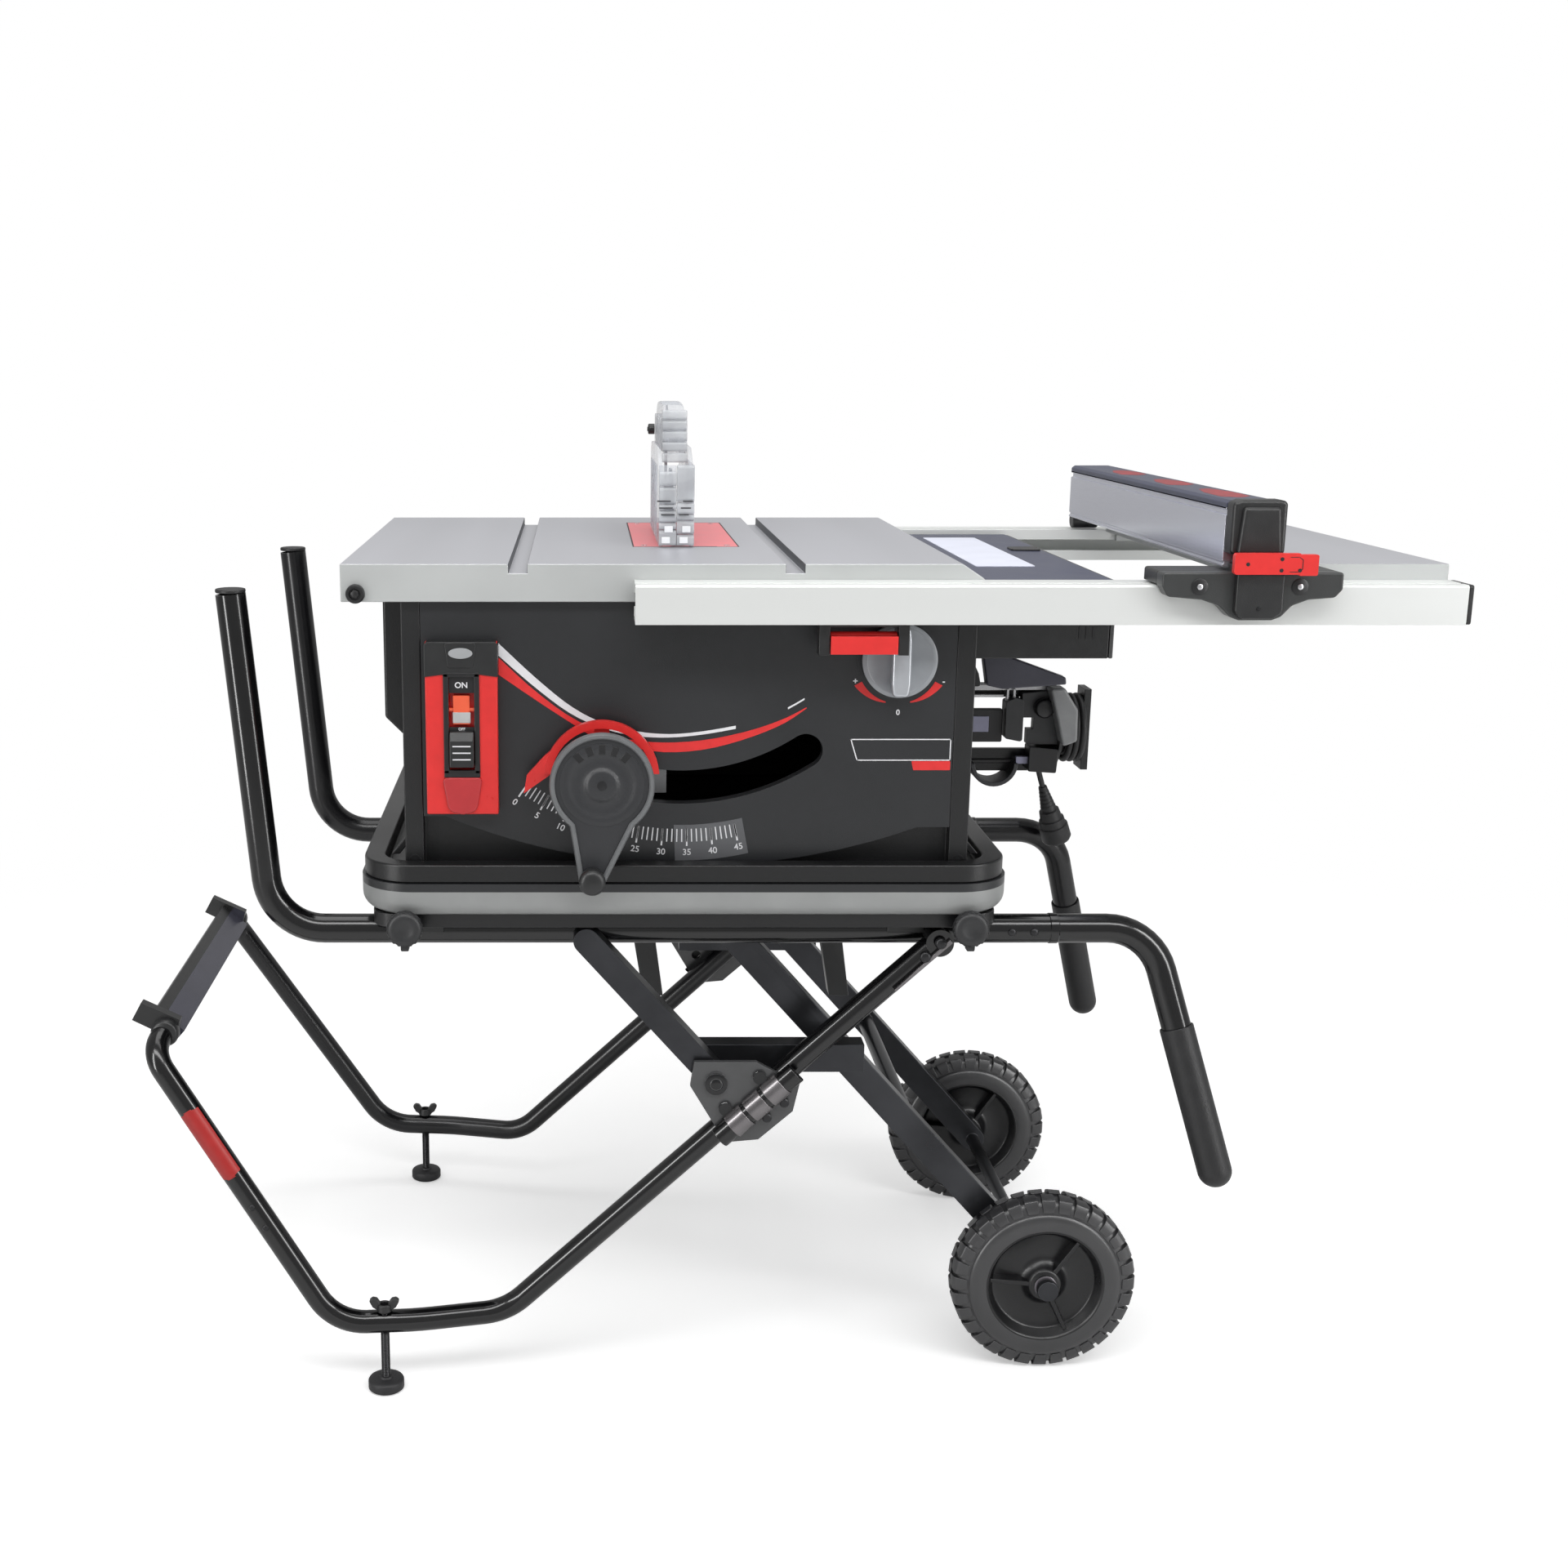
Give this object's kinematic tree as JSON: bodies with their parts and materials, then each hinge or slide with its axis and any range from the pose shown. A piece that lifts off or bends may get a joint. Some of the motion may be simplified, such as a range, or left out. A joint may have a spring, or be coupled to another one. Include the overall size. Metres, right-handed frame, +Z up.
{
  "type": "portable table saw",
  "caption": "Portable table saw with blade guard, rip fence and sliding extension on a folding wheeled stand.",
  "frame": {"origin": "on the floor, under the middle of the machine", "axes": "+X to the operator's right, +Y away from the operator, +Z up"},
  "size_m": [1.39, 0.6984, 1.077],
  "materials": {
    "table_alloy": "satin",
    "rail_alloy": "satin",
    "red_plastic": "satin",
    "black_plastic": "satin",
    "housing": "satin",
    "grey_plastic": "satin",
    "black_paint": "gloss",
    "black_rubber": "matte",
    "fence_plastic": "satin",
    "red_panel": "satin",
    "cast_metal": "rough",
    "steel": "brushed",
    "clear_plastic": "clear"
  },
  "bodies": {
    "root": {"table_top": "table_alloy", "throat_insert": "red_plastic", "rail_guides": "black_plastic", "cabinet_shell": "housing", "front_panel": "housing", "base_pan": "grey_plastic", "base_tray": "black_plastic", "side_box": "black_plastic", "storage_case": "black_plastic", "switch_plate": "red_panel", "lever_bracket": "black_paint", "side_tube_near": "black_paint", "side_tube_far": "black_paint", "handle_grips": "black_rubber", "tube_fittings": "black_paint", "clamp_knobs": "black_plastic", "accessory_bracket": "black_paint", "mitre_gauge": "grey_plastic", "push_stick": "black_plastic", "cord_wrap": "black_plastic", "cord_winding": "black_rubber", "cord_lead": "black_rubber", "cord_tail": "black_rubber", "power_plug": "black_rubber"},
    "extension": {"front_rail": "rail_alloy", "rear_rail": "rail_alloy", "extension_wing": "rail_alloy"},
    "rip_fence": {"fence_beam": "rail_alloy", "fence_cover": "fence_plastic", "fence_head": "black_paint"},
    "fence_handle": {"fence_lever": "red_plastic"},
    "drawer": {"storage_drawer": "grey_plastic"},
    "rocker": {"switch_rocker": "grey_plastic"},
    "paddle": {"switch_paddle": "black_plastic"},
    "micro_adjuster": {"micro_knob": "grey_plastic"},
    "extension_lock": {"lock_lever": "red_plastic"},
    "tilt_unit": {"tilt_carriage": "cast_metal", "squeeze_lever": "red_plastic"},
    "crank": {"handwheel": "rail_alloy"},
    "crank_knob": {"handwheel_knob": "black_plastic"},
    "saw_unit": {"arbor_block": "cast_metal", "motor": "cast_metal", "riving_knife": "steel", "guard_housing": "black_plastic"},
    "spindle": {"saw_blade": "steel"},
    "shield_carrier": {"shield_link": "black_plastic"},
    "shield_a": {"left_shield": "clear_plastic"},
    "shield_b": {"right_shield": "clear_plastic"},
    "wheel_frame": {"wheel_legs": "black_paint"},
    "wheel_a": {"wheel_near": "black_rubber"},
    "wheel_b": {"wheel_far": "black_rubber"},
    "struts": {"fold_struts": "black_paint"},
    "links": {"level_links": "black_paint"},
    "brackets": {"leg_brackets": "black_paint"},
    "feet": {"foot_leg_near": "black_paint", "foot_leg_far": "black_paint", "foot_crossbar": "black_paint", "levelling_feet": "black_rubber"}
  },
  "joints": [
    {"name": "extension_slide", "type": "slide", "parent": "root", "child": "extension", "axis": [1, 0, 0], "range_m": [-0.275, 0]},
    {"name": "fence_slide", "type": "slide", "parent": "extension", "child": "rip_fence", "axis": [1, 0, 0], "range_m": [-0.22, 0.13]},
    {"name": "fence_lever_lift", "type": "hinge", "parent": "rip_fence", "child": "fence_handle", "pos_m": [0.4735, -0.3285, 0.9316], "axis": [-1, 0, 0], "range_deg": [0, 40]},
    {"name": "drawer_slide", "type": "slide", "parent": "root", "child": "drawer", "axis": [1, 0, 0], "range_m": [0, 0.12]},
    {"name": "rocker_turn", "type": "hinge", "parent": "root", "child": "rocker", "pos_m": [-0.319, -0.2625, 0.771], "axis": [1, 0, 0], "range_deg": [0, 8]},
    {"name": "paddle_lift", "type": "hinge", "parent": "root", "child": "paddle", "pos_m": [-0.3187, -0.2581, 0.7478], "axis": [-1, 0, 0], "range_deg": [0, 12]},
    {"name": "micro_turn", "type": "hinge", "parent": "root", "child": "micro_adjuster", "pos_m": [0.1345, -0.2625, 0.8224], "axis": [0, 1, 0], "range_deg": [-120, 120]},
    {"name": "extension_lock_turn", "type": "hinge", "parent": "root", "child": "extension_lock", "pos_m": [0.0915, -0.2875, 0.85], "axis": [-1, 0, 0], "range_deg": [0, 40]},
    {"name": "blade_tilt", "type": "hinge", "parent": "root", "child": "tilt_unit", "pos_m": [-0.0895, 0, 0.922], "axis": [0, -1, 0], "range_deg": [0, 45]},
    {"name": "crank_turn", "type": "hinge", "parent": "tilt_unit", "child": "crank", "pos_m": [-0.1734, -0.2625, 0.7014], "axis": [0, -1, 0], "range_deg": [-360, 0]},
    {"name": "crank_knob_spin", "type": "hinge", "parent": "crank", "child": "crank_knob", "pos_m": [-0.1834, -0.3225, 0.604], "axis": [0, 1, 0], "continuous": true},
    {"name": "blade_rise", "type": "slide", "parent": "tilt_unit", "child": "saw_unit", "axis": [0, 0, 1], "range_m": [-0.079, 0]},
    {"name": "blade_spin", "type": "hinge", "parent": "saw_unit", "child": "spindle", "pos_m": [-0.0895, 0.0575, 0.874], "axis": [1, 0, 0], "continuous": true},
    {"name": "carrier_rise", "type": "slide", "parent": "saw_unit", "child": "shield_carrier", "axis": [0, 0, 1], "range_m": [0, 0.079]},
    {"name": "left_shield_lift", "type": "slide", "parent": "shield_carrier", "child": "shield_a", "axis": [0, 0, 1], "range_m": [0, 0.0205]},
    {"name": "right_shield_rise", "type": "slide", "parent": "saw_unit", "child": "shield_b", "axis": [0, 0, 1], "range_m": [0, 0.079]},
    {"name": "wheel_leg_fold", "type": "hinge", "parent": "root", "child": "wheel_frame", "pos_m": [-0.039, 0, 0.518], "axis": [0, -1, 0], "range_deg": [0, 18]},
    {"name": "strut_fold", "type": "hinge", "parent": "root", "child": "struts", "pos_m": [-0.1891, 0, 0.518], "axis": [0, -1, 0], "range_deg": [0, 18]},
    {"name": "link_fold", "type": "hinge", "parent": "wheel_frame", "child": "links", "pos_m": [0.10136, 0, 0.36046], "axis": [0, -1, 0], "range_deg": [-18, 0]},
    {"name": "foot_leg_fold", "type": "hinge", "parent": "root", "child": "feet", "pos_m": [0.1891, 0, 0.5166], "axis": [0, 1, 0], "range_deg": [0, 1.8]},
    {"name": "bracket_turn", "type": "hinge", "parent": "struts", "child": "brackets", "pos_m": [-0.04874, 0, 0.36046], "axis": [0, 1, 0], "range_deg": [0, 20]},
    {"name": "near_wheel_spin", "type": "hinge", "parent": "wheel_frame", "child": "wheel_a", "pos_m": [0.32994, -0.218, 0.104], "axis": [0, 1, 0], "continuous": true},
    {"name": "far_wheel_spin", "type": "hinge", "parent": "wheel_frame", "child": "wheel_b", "pos_m": [0.32994, 0.218, 0.104], "axis": [0, 1, 0], "continuous": true}
  ],
  "couplings": [
    {"joint": "crank_turn", "follows": "blade_rise", "rad_per_m": 79.5},
    {"joint": "carrier_rise", "follows": "blade_rise", "ratio": -1},
    {"joint": "right_shield_rise", "follows": "blade_rise", "ratio": -1},
    {"joint": "left_shield_lift", "follows": "blade_tilt", "m_per_rad": 0.0249},
    {"joint": "strut_fold", "follows": "wheel_leg_fold", "ratio": 1},
    {"joint": "link_fold", "follows": "wheel_leg_fold", "ratio": -1},
    {"joint": "foot_leg_fold", "follows": "wheel_leg_fold", "ratio": 0.1},
    {"joint": "bracket_turn", "follows": "wheel_leg_fold", "ratio": 1.1}
  ]
}
